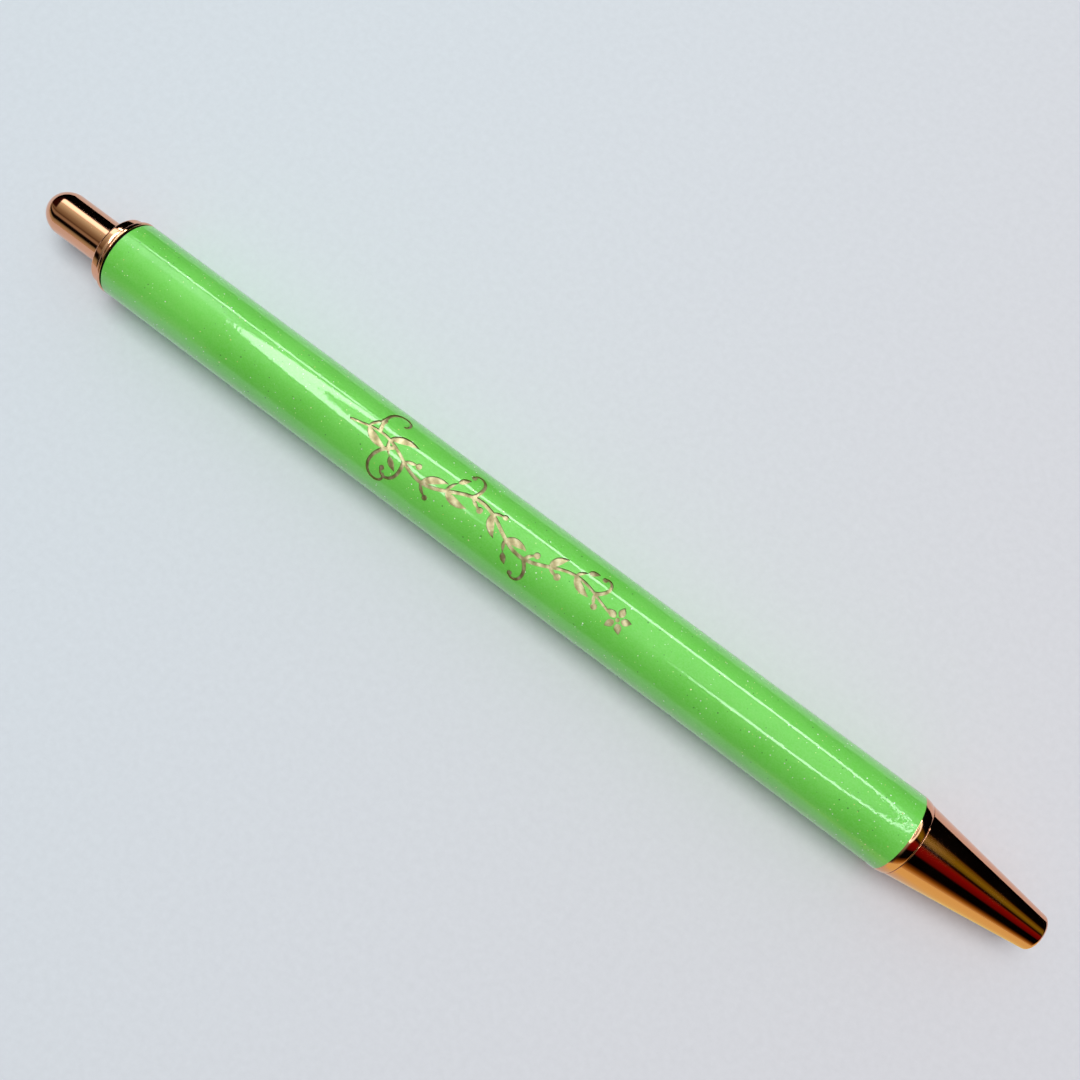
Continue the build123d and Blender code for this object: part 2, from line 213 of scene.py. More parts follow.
def laserMarkedBrass():
    # nickel-washed brass bared by a laser: pale champagne, satin, hatched across the stroke
    material, tree, shader, place = startMaterial("laserMarkedBrass", {
        "Metallic": 0.6, "Roughness": 0.36})
    # a laser's hatch is too fine to show, so its lines are drawn nearly 1 mm apart
    hatch = addNode(tree, "TexWave", {
        "Vector": place, "Scale": 1 / (2.4 * mm), "Distortion": 1.5, "Detail": 2.0,
        "Detail Scale": 1.5}, bands_direction="DIAGONAL")
    blotch = addNode(tree, "TexNoise", {
        "Vector": place, "Scale": 1 / (0.9 * mm), "Detail": 4.0, "Roughness": 0.65})
    both = addNode(tree, "Math", {
        0: hatch.outputs["Fac"], 1: 0.25, 2: blotch}, operation="MULTIPLY_ADD")
    shade = addNode(tree, "ValToRGB", {"Fac": both},
                    [(0.4, "#8E7F58"), (0.62, "#B7A67C"), (0.85, "#D8CBA6")])
    feed(shader, {"Base Color": shade})
    bump = addNode(tree, "Bump", {
        "Height": hatch.outputs["Fac"], "Strength": 0.35, "Distance": 0.01 * mm})
    feed(shader, {"Normal": bump})
    return material


def extrudedPolypropylene():
    # extruded clear polypropylene: milky clear, with die lines along the tube
    material, tree, shader, place = startMaterial("extrudedPolypropylene", {
        "Base Color": toLinear("#E9EEEE"), "IOR": 1.49, "Transmission Weight": 0.85})
    along = addNode(tree, "Mapping", {"Vector": place, "Scale": (0.02, 1.0, 1.0)})
    dieLines = addNode(tree, "TexNoise", {"Vector": along, "Scale": 1 / (0.25 * mm), "Detail": 2.0})
    rough = addNode(tree, "MapRange", {"Value": dieLines, "To Min": 0.12, "To Max": 0.3})
    feed(shader, {"Roughness": rough})
    return material


def mottled(name, values, patch, detail, stops, relief=0):
    # two tones in patches of a size in mm, raised a little where relief is given
    material, tree, shader, place = startMaterial(name, values)
    patches = addNode(tree, "TexNoise", {
        "Vector": place, "Scale": 1 / (patch * mm), "Detail": detail})
    tone = addNode(tree, "ValToRGB", {"Fac": patches}, stops)
    feed(shader, {"Base Color": tone})
    if relief:
        bump = addNode(tree, "Bump", {"Height": patches, "Strength": relief, "Distance": 0.01 * mm})
        feed(shader, {"Normal": bump})
    return material


def turnedMetal(name, darker, lighter, roughness, pitch):
    # a metal drawn or turned bright: fine rings round the axis, over a faint patina
    material = mottled(name, {"Metallic": 1.0, "Roughness": roughness}, 1.2, 3.0,
                       [(0.3, darker), (0.7, lighter)])
    tree = material.node_tree
    # rings come 2 pi pitches apart, coarser than the tool leaves them, so that they show
    rings = addNode(tree, "TexWave", {
        "Vector": addNode(tree, "TexCoord").outputs["Object"], "Scale": 1 / (20 * pitch * mm),
        "Distortion": 0.6, "Detail": 2.0}, bands_direction="X")
    bump = addNode(tree, "Bump", {
        "Height": rings.outputs["Fac"], "Strength": 0.25, "Distance": 0.01 * mm})
    feed(tree.nodes["Principled BSDF"], {"Normal": bump})
    return material


def tableBoard():
    # white laminate with a fine, soft grain; its cooler tint to the rear of the pen than at its
    # nose is painted light, standing in for cool light falling from that side
    material, tree, shader, place = startMaterial("tableBoard", {
        "Roughness": 0.7, "Specular IOR Level": 0.0})
    along = addNode(tree, "SeparateXYZ", {"Vector": place})
    share = addNode(tree, "MapRange", {
        "Value": along.outputs["X"], "From Min": -80 * mm, "From Max": 80 * mm},
        interpolation_type="SMOOTHSTEP")
    # painted light: the cooler colour at the rear stands in for cool light from that side
    paintedCoolLightTint = addNode(tree, "Mix", {
        "Factor": share, "A": toLinear("#DFE8F1"), "B": toLinear("#DFE0E8")},
        data_type="RGBA")
    grain = addNode(tree, "TexNoise", {
        "Vector": place, "Scale": 1 / (0.9 * mm), "Detail": 5.0, "Roughness": 0.6})
    shade = addNode(tree, "MapRange", {
        "Value": grain, "From Min": 0.25, "From Max": 0.75,
        "To Min": 0.965, "To Max": 1.02})
    tone = addNode(tree, "Mix", {
        "Factor": 1.0, "A": paintedCoolLightTint, "B": shade},
        data_type="RGBA", blend_type="MULTIPLY")
    feed(shader, {"Base Color": tone})
    bump = addNode(tree, "Bump", {"Height": grain, "Strength": 0.2, "Distance": 0.05 * mm})
    feed(shader, {"Normal": bump})
    return material


plating = roseGoldPlate()
lacquer = glitterLacquer()
engraved = laserMarkedBrass()
clearTube = extrudedPolypropylene()
# the cut wall of the lacquer, browned by the laser and darkened further as painted shade inside the
# engraving
scorchAndPaintedShade = mottled("scorchedLacquerAndPaintedShade", {"Roughness": 0.55}, 0.3, 3.0,
                   [(0.35, "#4C5A22"), (0.7, "#7F8A45")])
# injection moulded white acetal: waxy, a little see-through, with a faint spark-eroded grain
acetal = mottled("mouldedAcetal", {
    "Roughness": 0.42, "IOR": 1.48, "Subsurface Weight": 0.15, "Subsurface Scale": 0.6 * mm},
    0.15, 3.0, [(0.3, "#E2DFD6"), (0.7, "#EFEDE6")], relief=0.2)
# moulded nitrile rubber: black, dull, with a trace of talc
rubber = mottled("nitrileRubber", {"Roughness": 0.62, "Specular IOR Level": 0.35}, 0.25, 4.0,
                 [(0.45, "#161617"), (0.8, "#3A3A3C")])
# painted shade: a black material down in the seam between the collar and the barrel, standing in
# for the shade in that narrow groove
paintedSeamShade = mottled("seamPaintedShade", {"Roughness": 0.4, "Specular IOR Level": 0.2}, 0.4, 3.0,
                [(0.4, "#050505"), (0.8, "#14120F")])
# water-based black gel: deep, wet, with the pigment's faint unevenness
ink = mottled("blackGelInk", {"Roughness": 0.12, "IOR": 1.36}, 3, 3.0,
              [(0.3, "#0B0C10"), (0.75, "#1B1D24")])
# clear yellowish grease that follows the ink
grease = mottled("followerGrease", {"Roughness": 0.15, "IOR": 1.46, "Transmission Weight": 0.7},
                 1.5, 2.0, [(0.3, "#DCCB8C"), (0.7, "#EFE4B4")])
brass = turnedMetal("drawnBrass", "#B98F4E", "#D6B272", 0.3, 0.1)
springSteel = turnedMetal("drawnSpringWire", "#8E9194", "#B9BCBF", 0.24, 0.08)
nickelSilver = turnedMetal("turnedNickelSilver", "#B5AF9F", "#D8D3C5", 0.2, 0.07)
carbide = turnedMetal("groundTungstenCarbide", "#55575B", "#76797E", 0.12, 0.05)
print("materials made")


# building turned pieces
def picked(geom, kind=bmesh.types.BMVert):
    return [g for g in geom if isinstance(g, kind)]


def axisDistance(place):
    return math.hypot(place.y, place.z - axisHeight)


def arc(centreX, radius, fromAngle, toAngle, count, centreRadius=0.0):
    # points of an arc in the outline's plane; angle 0 points to the nose
    angles = [fromAngle + (toAngle - fromAngle) * i / count for i in range(count + 1)]
    return [(centreX + radius * math.cos(a), centreRadius + radius * math.sin(a)) for a in angles]


def spinOutline(outline, rounds=(), steps=192):
    # outline holds x and radius of each corner; rounds holds x and radius of a rim, and the
    # size and segments of its rounding
    bm = bmesh.new()
    corners = [bm.verts.new((x, 0, axisHeight + radius)) for x, radius in outline]
    closing = zip(corners, corners[1:] + corners[:1])
    sides = [bm.edges.new(pair) for pair in closing
             if max(axisDistance(v.co) for v in pair) > mergeWithin]
    bmesh.ops.spin(bm, geom=corners + sides, cent=penAxis, axis=(1, 0, 0), angle=fullTurn,
                   steps=steps, use_merge=True)
    bmesh.ops.remove_doubles(bm, verts=bm.verts, dist=mergeWithin)
    bmesh.ops.recalc_face_normals(bm, faces=bm.faces)
    for x, radius, size, segments in rounds:
        rim = [e for e in bm.edges if all(
            abs(v.co.x - x) < sameSpot and abs(axisDistance(v.co) - radius) < sameSpot
            for v in e.verts)]
        bmesh.ops.bevel(bm, geom=rim, offset=size, offset_type="OFFSET", segments=segments,
                        profile=0.5, affect="EDGES", material=-1)
    return bm


def meshFrom(name, bm, *materials):
    mesh = bpy.data.meshes.new(name)
    bm.to_mesh(mesh)
    bm.free()
    for material in materials:
        mesh.materials.append(material)
    return mesh


def addObject(name, data):
    added = bpy.data.objects.new(name, data)
    scene.collection.objects.link(added)
    return added


def makePiece(name, bm, materials, body, node, sharp=38):
    # sharp is the angle in degrees past which an edge is shaded hard
    mesh = meshFrom(name, bm, *materials)
    mesh.shade_smooth()
    mesh.set_sharp_from_angle(angle=math.radians(sharp))
    piece = addObject(name, mesh)
    even = piece.modifiers.new("evenShading", "WEIGHTED_NORMAL")
    even.keep_sharp = True
    if body:
        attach(piece, body)
    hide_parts(node)
    return piece


# push button; an edge is the size of a rounding and its segments, here and below
button = {"wall": 0.35 * mm, "domeSteps": 28, "rimEdge": (0.1 * mm, 3)}
buttonEnd, skirtEnd, buttonRadius = nodeSpan("push_button")
domeX = buttonEnd + buttonRadius
socketRadius = buttonRadius - button["wall"]
buttonOutline = [(skirtEnd, socketRadius), (skirtEnd, buttonRadius)]
buttonOutline += arc(domeX, buttonRadius, fullTurn / 4, fullTurn / 2, button["domeSteps"])[:-1]
buttonOutline += [(buttonEnd, 0), (domeX, 0), (domeX, socketRadius)]
buttonMesh = spinOutline(buttonOutline, [(skirtEnd, buttonRadius, *button["rimEdge"])])
makePiece("plated_button", buttonMesh, [plating], "button", "push_button")
print("button made")

# rear collar: a band, a groove, a flange, then the seam and the sleeve inside the barrel
collar = {"bandLength": 1.3 * mm, "bandStep": 0.44 * mm, "groove": 0.12 * mm, "bore": 2.88 * mm,
          "seamWidth": 0.33 * mm, "seamRadius": 4.7 * mm, "lip": 0.16 * mm, "grip": 4.7 * mm,
          "housingRadius": 3.6 * mm, "tubeBore": 4.15 * mm, "bandEdge": (0.26 * mm, 6),
          "boreEdge": (0.12 * mm, 4), "grooveEdge": (0.05 * mm, 3), "flangeEdge": (0.15 * mm, 6)}
collarRear, collarFront, collarRadius = nodeSpan("rear_collar")
bandFront = collarRear + collar["bandLength"]
bandRadius = collarRadius - collar["bandStep"]
grooveRear = bandFront - collar["groove"]
grooveRadius = bandRadius - collar["groove"]
flangeEnd = barrelRear - collar["seamWidth"]
housingRear = collarFront - collar["grip"]
collarMesh = spinOutline([
    (collarRear, collar["bore"]), (collarRear, bandRadius), (grooveRear, bandRadius),
    (grooveRear, grooveRadius), (bandFront, grooveRadius), (bandFront, collarRadius),
    (flangeEnd, collarRadius), (flangeEnd, collar["seamRadius"]),
    (barrelRear, collar["seamRadius"]), (barrelRear, collar["tubeBore"]),
    (collarFront, collar["tubeBore"]), (collarFront, collar["housingRadius"]),
    (housingRear, collar["housingRadius"]), (housingRear, collar["bore"])], [
    (collarRear, bandRadius, *collar["bandEdge"]),
    (collarRear, collar["bore"], *collar["boreEdge"]),
    (grooveRear, bandRadius, *collar["grooveEdge"]),
    (bandFront, collarRadius, *collar["flangeEdge"]),
    (flangeEnd, collarRadius, *collar["flangeEdge"])])
# faces down in the seam get the black of the painted seam shade
for face in collarMesh.faces:
    middle = face.calc_center_median()
    inSeam = flangeEnd - sameSpot < middle.x < barrelRear + sameSpot
    if inSeam and axisDistance(middle) < collarRadius - collar["lip"]:
        face.material_index = 1
makePiece("plated_collar", collarMesh, [plating, paintedSeamShade], "barrel", "rear_collar")
print("collar made")

# front ring, crowned towards the nose
ring = {"frontStep": 0.25 * mm, "crownSteps": 10, "grooveDepth": 0.75 * mm,
        "sealBore": 4.4 * mm, "bushBore": 3.75 * mm, "tubeBore": 4.15 * mm,
        "frontEdge": (0.06 * mm, 3), "rearEdge": (0.04 * mm, 2)}
ringRear, ringFront, ringRadius = nodeSpan("front_ring")
ringLength = ringFront - barrelFront
crownRadius = (ringLength ** 2 + ring["frontStep"] ** 2) / (2 * ring["frontStep"])
crownEnd = fullTurn / 4 - math.asin(ringLength / crownRadius)
sealShelf = ringFront - ring["grooveDepth"]
ringOutline = [(ringRear, ring["bushBore"]), (ringRear, ring["tubeBore"]),
               (barrelFront, ring["tubeBore"])]
ringOutline += arc(barrelFront, crownRadius, fullTurn / 4, crownEnd, ring["crownSteps"],
                   ringRadius - crownRadius)
ringOutline += [(ringFront, ring["sealBore"]), (sealShelf, ring["sealBore"]),
                (sealShelf, ring["bushBore"])]
ringMesh = spinOutline(ringOutline, [
    (ringFront, ringRadius - ring["frontStep"], *ring["frontEdge"]),
    (barrelFront, ringRadius, *ring["rearEdge"])])
makePiece("plated_ring", ringMesh, [plating], "barrel", "front_ring")
print("ring made")

# nose cone, with the thread that the plain CAD spigot stands for
nose = {"rearGap": 0.05 * mm, "rearRadius": 4.73 * mm, "tipRadius": 2.2 * mm,
        "mouthRadius": 1.23 * mm, "mouthLength": 4.0 * mm, "neckBore": 1.75 * mm,
        "springSeat": 8.5 * mm, "springBore": 2.25 * mm, "refillBore": 3.2 * mm,
        "refillBoreFront": 19.36 * mm, "plainLength": 1.2 * mm, "rearEdge": (0.06 * mm, 3),
        "tipEdge": (0.45 * mm, 10), "mouthEdge": (0.12 * mm, 4), "spigotEdge": (0.08 * mm, 2)}
thread = {"crestRadius": 3.7 * mm, "rootRadius": 3.42 * mm, "pitch": 0.7 * mm,
          "lead": 0.3 * mm, "sunk": 0.05 * mm, "stepsPerTurn": 48}
spigotRear, noseEnd = nodeSpan("nose_cone")[:2]
coneRear = ringFront + nose["rearGap"]
plainRear = coneRear - nose["plainLength"]
mouthRear = noseEnd - nose["mouthLength"]
springSeat = noseEnd - nose["springSeat"]
refillBoreFront = noseEnd - nose["refillBoreFront"]
noseMesh = spinOutline([
    (spigotRear, nose["refillBore"]), (spigotRear, thread["rootRadius"]),
    (plainRear, thread["rootRadius"]), (plainRear, thread["crestRadius"]),
    (coneRear, thread["crestRadius"]), (coneRear, nose["rearRadius"]),
    (noseEnd, nose["tipRadius"]), (noseEnd, nose["mouthRadius"]),
    (mouthRear, nose["mouthRadius"]), (mouthRear, nose["neckBore"]),
    (springSeat, nose["neckBore"]), (springSeat, nose["springBore"]),
    (refillBoreFront, nose["springBore"]), (refillBoreFront, nose["refillBore"])], [
    (coneRear, nose["rearRadius"], *nose["rearEdge"]),
    (noseEnd, nose["tipRadius"], *nose["tipEdge"]),
    (noseEnd, nose["mouthRadius"], *nose["mouthEdge"]),
    (spigotRear, thread["rootRadius"], *nose["spigotEdge"])])


def addThread(bm, start, end):
    # a ridge with a flat crest, wound forward from start to end and closed at both ends
    pitch, foot = thread["pitch"], thread["rootRadius"] - thread["sunk"]
    section = [(0.0, foot), (pitch * 0.44, thread["crestRadius"]),
               (pitch * 0.56, thread["crestRadius"]), (pitch, foot)]
    steps = int(round((end - start - pitch) / pitch * thread["stepsPerTurn"]))
    corners = [bm.verts.new((start + x, 0, axisHeight + r)) for x, r in section]
    first = bm.faces.new(corners)
    wound = bmesh.ops.spin(bm, geom=corners + list(first.edges), cent=penAxis, axis=(1, 0, 0),
                           angle=fullTurn * steps / thread["stepsPerTurn"], steps=steps,
                           dvec=(pitch / thread["stepsPerTurn"], 0, 0), use_merge=False)
    bmesh.ops.contextual_create(bm, geom=picked(wound["geom_last"]))
    bmesh.ops.recalc_face_normals(bm, faces=bm.faces)


addThread(noseMesh, spigotRear + thread["lead"], plainRear)
makePiece("plated_nose", noseMesh, [plating], "nose", "nose_cone")
print("nose made")

# camera: tilt is from straight down, turn is round the vertical
view = {"aim": Vector((1.48 * mm, 2.35 * mm, axisHeight)), "distance": 128.81 * mm,
        "tilt": math.radians(9.31), "turn": math.radians(36.91), "lens": 36.63,
        "nearest": 5 * mm, "farthest": 20.0}
camera = addObject("camera", bpy.data.cameras.new("camera"))
scene.camera = camera
camera.data.lens = view["lens"]
camera.data.clip_start = view["nearest"]
camera.data.clip_end = view["farthest"]
camera.rotation_euler = (view["tilt"], 0, view["turn"])
backwards = Vector((math.sin(view["tilt"]) * math.sin(view["turn"]),
                    -math.sin(view["tilt"]) * math.cos(view["turn"]), math.cos(view["tilt"])))
camera.location = view["aim"] + backwards * view["distance"]

# floor
floorHalf = 0.6
floorGrid = bmesh.new()
bmesh.ops.create_grid(floorGrid, x_segments=1, y_segments=1, size=floorHalf)
addObject("floor", meshFrom("floor", floorGrid, tableBoard()))

# O-ring between the front ring and the cone
seal = {"section": 0.3 * mm, "steps": 20, "spinSteps": 128}
sealRear, sealFront, sealRadius = nodeSpan("o_ring")
sealOutline = arc((sealRear + sealFront) / 2, seal["section"], 0, fullTurn, seal["steps"],
                  sealRadius - seal["section"])[:-1]
makePiece("moulded_o_ring", spinOutline(sealOutline, steps=seal["spinSteps"]), [rubber], "seal",
          "o_ring", 80)

# refill: the pieces that show in the nose's mouth
ball = {"steps": 24, "spinSteps": 48}
ballRear, ballFront = nodeSpan("tip_ball")[:2]
ballMiddle = (ballRear + ballFront) / 2
ballOutline = arc(ballMiddle, (ballFront - ballRear) / 2, fullTurn / 2, 0, ball["steps"])
makePiece("ground_ball", spinOutline(ballOutline, steps=ball["spinSteps"]), [carbide], "refill",
          "tip_ball", 80)

tip = {"radius": 1.15 * mm, "coneLength": 2.6 * mm, "rimRadius": 0.45 * mm, "bore": 0.6 * mm,
       "throat": 0.2 * mm, "socket": 0.37 * mm, "socketSteps": 10, "boreEnd": 1.3 * mm,
       "shoulderEdge": (0.12 * mm, 4), "rimEdge": (0.03 * mm, 3), "spinSteps": 96}
tipRear, rimFront = nodeSpan("writing_tip")[:2]
tipShoulder = rimFront - tip["coneLength"]
boreEnd = ballMiddle - tip["boreEnd"]
socketRim = math.acos((rimFront - ballMiddle) / tip["socket"])
socketThroat = fullTurn / 2 - math.asin(tip["throat"] / tip["socket"])
tipOutline = [(tipRear, tip["bore"]), (tipRear, tip["radius"]), (tipShoulder, tip["radius"]),
              (rimFront, tip["rimRadius"])]
tipOutline += arc(ballMiddle, tip["socket"], socketRim, socketThroat, tip["socketSteps"])
tipOutline += [(boreEnd, tip["throat"]), (boreEnd, tip["bore"])]
tipMesh = spinOutline(tipOutline, [(tipShoulder, tip["radius"], *tip["shoulderEdge"]),
                                   (rimFront, tip["rimRadius"], *tip["rimEdge"])],
                      tip["spinSteps"])
makePiece("turned_tip", tipMesh, [nickelSilver], "refill", "writing_tip", 30)

holder = {"plug": 5.0 * mm, "flange": 1.4 * mm, "plugRadius": 2.6 * mm, "neck": 1.6 * mm,
          "bore": 0.9 * mm, "tipSocket": 3.0 * mm, "endEdge": (0.2 * mm, 4),
          "flangeEdge": (0.12 * mm, 3), "spinSteps": 96}
holderRear, holderFront, holderRadius = nodeSpan("tip_holder")
flangeRear = holderRear + holder["plug"]
flangeFront = flangeRear + holder["flange"]
tipSocketRear = holderFront - holder["tipSocket"]
holderMesh = spinOutline([
    (holderRear, holder["bore"]), (holderRear, holder["plugRadius"]),
    (flangeRear, holder["plugRadius"]), (flangeRear, holderRadius), (flangeFront, holderRadius),
    (flangeFront, holder["neck"]), (holderFront, holder["neck"]), (holderFront, tip["radius"]),
    (tipSocketRear, tip["radius"]), (tipSocketRear, holder["bore"])], [
    (holderFront, holder["neck"], *holder["endEdge"]),
    (flangeFront, holderRadius, *holder["flangeEdge"]),
    (flangeRear, holderRadius, *holder["flangeEdge"]),
    (holderRear, holder["plugRadius"], *holder["endEdge"])], holder["spinSteps"])
makePiece("moulded_holder", holderMesh, [acetal], "refill", "tip_holder", 30)
print("refill's front made")

# return spring: wire wound with one and a half closed turns at each end
spring = {"wire": 0.35 * mm, "meanRadius": 1.925 * mm, "openTurns": 9, "closedTurns": 1.5,
          "closedPitch": 0.357 * mm, "wireSides": 12, "stepsPerTurn": 40}
springRear, springFront = nodeSpan("return_spring")[:2]


def springAdvance(turn, turns, length):
    # how far along the spring the wire has come after so many turns
    closed, pitch = spring["closedTurns"], spring["closedPitch"]
    if turn < closed:
        return turn * pitch
    if turn > turns - closed:
        return length - (turns - turn) * pitch
    openPitch = (length - 2 * closed * pitch) / (turns - 2 * closed)
    return closed * pitch + (turn - closed) * openPitch


def windSpring(start, end):
    wireRadius = spring["wire"] / 2
    turns = spring["openTurns"] + 2 * spring["closedTurns"]
    centre = (start + wireRadius, 0, axisHeight + spring["meanRadius"])
    bm = bmesh.new()
    wireEnd = bmesh.ops.create_circle(bm, cap_ends=True, segments=spring["wireSides"],
                                      radius=wireRadius)["verts"]
    bmesh.ops.translate(bm, verts=wireEnd, vec=centre)
    # the disc faces along Z as made, so it is stood across the wire, which runs in -Y at the top
    bmesh.ops.rotate(bm, verts=wireEnd, cent=centre, matrix=Matrix.Rotation(fullTurn / 4, 3, "X"))
    rim = list(bm.edges)
    oneStep = Matrix.Rotation(fullTurn / spring["stepsPerTurn"], 3, "X")
    come = 0.0
    for step in range(1, int(turns * spring["stepsPerTurn"]) + 1):
        reach = springAdvance(step / spring["stepsPerTurn"], turns, end - start - spring["wire"])
        wound = bmesh.ops.extrude_edge_only(bm, edges=rim)
        wireEnd = picked(wound["geom"])
        rim = [e for e in picked(wound["geom"], bmesh.types.BMEdge)
               if all(v in wireEnd for v in e.verts)]
        bmesh.ops.rotate(bm, verts=wireEnd, cent=penAxis, matrix=oneStep)
        bmesh.ops.translate(bm, verts=wireEnd, vec=(reach - come, 0, 0))
        come = reach
    bmesh.ops.contextual_create(bm, geom=wireEnd)
    bmesh.ops.recalc_face_normals(bm, faces=bm.faces)
    return bm


springPiece = makePiece("wound_spring", windSpring(springRear, springFront), [springSteel], None,
                        "return_spring", 60)
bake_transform(springPiece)
print("spring wound")

# lacquer coat with the engraved sprig; shares are parts of the stem's length, from the rear
sprig = {
    "rear": -24.0 * mm, "front": 13.6 * mm, "stemWidth": 0.46 * mm, "stemSteps": 110,
    "wave": 1.25 * mm, "waves": 2.6, "leaves": 12, "firstLeaf": 0.06, "leafGap": 0.078,
    "leafWidth": 0.95 * mm, "leafLength": 3.3 * mm, "leafSteps": 12, "thinnest": 0.05 * mm,
    "tendrilWidth": 0.42 * mm, "tendrilSteps": 30, "berryRadius": 0.4 * mm, "berrySides": 20,
    # share, turn from the stem, length and turns of the two wide curls
    "curls": [(0.10, 2.0, 7.4 * mm, -0.80), (0.17, -2.2, 8.6 * mm, 0.80)],
    "blossomGap": 0.7 * mm, "petals": 5, "petalTurn": 0.3, "petalRoot": 0.38 * mm,
    "petalLength": 1.25 * mm, "petalWidth": 0.85 * mm, "petalCurl": 0.15, "heart": 0.26 * mm,
    "depthBelow": 0.24 * mm, "heightAbove": 0.1 * mm, "coatSteps": 384}
sprigRandom = random.Random(11)


def towards(heading):
    return Vector((math.cos(heading), math.sin(heading)))


def addStroke(bm, points, widths):
    # a flat ribbon along the points, made by drawing one short edge along
    edge = None
    for index, (point, width) in enumerate(zip(points, widths)):
        before, after = points[max(index - 1, 0)], points[min(index + 1, len(points) - 1)]
        along = (after - before).normalized()
        side = Vector((-along.y, along.x)) * width / 2
        left, right = point + side, point - side
        if edge is None:
            edge = bm.edges.new([bm.verts.new((*left, 0)), bm.verts.new((*right, 0))])
        else:
            drawn = bmesh.ops.extrude_edge_only(bm, edges=[edge])
            verts = picked(drawn["geom"])
            edge = [e for e in picked(drawn["geom"], bmesh.types.BMEdge)
                    if all(v in verts for v in e.verts)][0]
            # the new ends keep the order of the old ones
            nearLeft = min(verts, key=lambda v: (v.co.xy - lastLeft).length)
            for vertex in verts:
                vertex.co = (*(left if vertex is nearLeft else right), 0)
        lastLeft = left


def stemPoint(share):
    # the stem waves up and down, less at its ends
    x = sprig["rear"] + (sprig["front"] - sprig["rear"]) * share
    swell = math.sin(math.pi * min(max(share, 0.04), 0.96)) ** 0.35
    return Vector((x, sprig["wave"] * swell * math.sin(fullTurn * sprig["waves"] * share)))


def stemHeading(share):
    step = stemPoint(share + 0.004) - stemPoint(share - 0.004)
    return math.atan2(step.y, step.x)


def addLeaf(bm, root, heading, length, width, curl):
    # a pointed leaf, fullest past its middle, that curls by so many radians along its length
    count = sprig["leafSteps"]
    points, here, turn = [], root.copy(), heading
    for index in range(count + 1):
        points.append(here.copy())
        turn += curl / count
        here = here + towards(turn) * length / count
    addStroke(bm, points, [
        max(width * math.sin(math.pi * (i / count) ** 0.8) ** 0.9, sprig["thinnest"])
        for i in range(count + 1)])
    return points[-1]


def addTendril(bm, root, heading, length, turns, width):
    # a curl that winds in on itself: its bends tighten and its steps shorten towards the end
    count = sprig["tendrilSteps"]
    points, here, turn = [], root.copy(), heading
    for index in range(count + 1):
        points.append(here.copy())
        share = index / count
        turn += turns * fullTurn / count * (0.35 + 1.3 * share)
        here = here + towards(turn) * length / count * (1.35 - 0.85 * share)
    addStroke(bm, points, [width * (1.15 - 0.5 * i / count) for i in range(count + 1)])
    return points[-1]


def addBerry(bm, place, radius):
    made = bmesh.ops.create_circle(bm, cap_ends=True, segments=sprig["berrySides"], radius=radius)
    bmesh.ops.translate(bm, verts=made["verts"], vec=(*place, 0))


def drawSprig():
    # every stroke is a flat mesh of its own, so that strokes may cross
    strokes = []

    def fresh():
        strokes.append(bmesh.new())
        return strokes[-1]

    count, thin, berry = sprig["stemSteps"], sprig["tendrilWidth"], sprig["berryRadius"]
    addStroke(fresh(), [stemPoint(i / count) for i in range(count + 1)],
              [sprig["stemWidth"] * (0.6 + 0.4 * math.sin(math.pi * i / count))
               for i in range(count + 1)])
    # two wide curls sweep back over the rear end of the stem, one on each side
    for share, lean, length, turns in sprig["curls"]:
        addTendril(fresh(), stemPoint(share), stemHeading(share) + lean, length, turns, thin)
    for index in range(sprig["leaves"]):
        share = sprig["firstLeaf"] + index * sprig["leafGap"]
        root, heading = stemPoint(share), stemHeading(share)
        side = 1 if index % 2 else -1
        length = sprig["leafLength"] * (1.05 - 0.35 * share + 0.12 * sprigRandom.random())
        # every third leaf is a tendril with a berry at its end
        if index % 3 == 2:
            end = addTendril(fresh(), root, heading + side * 0.8, length * 1.5, side * 0.62, thin)
            addBerry(fresh(), end, berry * 0.8)
        else:
            addLeaf(fresh(), root, heading + side * 0.95, length, sprig["leafWidth"],
                    -side * 0.75)
        # a stalk across from each leaf carries a berry or a smaller leaf
        stalk = addLeaf(fresh(), root, heading - side * 1.0, length * 0.55, thin, side * 0.5)
        if index % 3 != 1:
            addBerry(fresh(), stalk, berry * (0.8 + 0.25 * sprigRandom.random()))
        else:
            addLeaf(fresh(), stalk, heading - side * 0.6, length * 0.5,
                    sprig["leafWidth"] * 0.75, side * 0.3)
    # a blossom ends the stem
    blossom = stemPoint(1.0) + Vector((sprig["blossomGap"], 0))
    for petal in range(sprig["petals"]):
        turn = fullTurn * petal / sprig["petals"] + sprig["petalTurn"]
        addLeaf(fresh(), blossom + towards(turn) * sprig["petalRoot"], turn,
                sprig["petalLength"], sprig["petalWidth"], sprig["petalCurl"])
    addBerry(fresh(), blossom, sprig["heart"])
    return strokes


def wrapRound(bm, radius):
    # rolls the flat drawing round the barrel, its middle line on top
    for vertex in bm.verts:
        reach, turn = radius + vertex.co.z, vertex.co.y / radius
        vertex.co = (vertex.co.x, reach * math.sin(turn), axisHeight + reach * math.cos(turn))


def cutterFrom(strokes):
    # thickens each stroke, from under the lacquer to clear of it, and joins them in one mesh
    joined = bmesh.new()
    for stroke in strokes:
        grown = bmesh.ops.extrude_face_region(stroke, geom=list(stroke.faces))
        top = picked(grown["geom"])
        bottom = [v for v in stroke.verts if v not in top]
        bmesh.ops.translate(stroke, verts=top, vec=(0, 0, sprig["heightAbove"]))
        bmesh.ops.translate(stroke, verts=bottom, vec=(0, 0, -sprig["depthBelow"]))
        wrapRound(stroke, barrelRadius)
        bmesh.ops.recalc_face_normals(stroke, faces=stroke.faces)
        part = meshFrom("stroke", stroke)
        joined.from_mesh(part)
        bpy.data.meshes.remove(part)
    return meshFrom("sprigCutter", joined, lacquer, scorchAndPaintedShade)


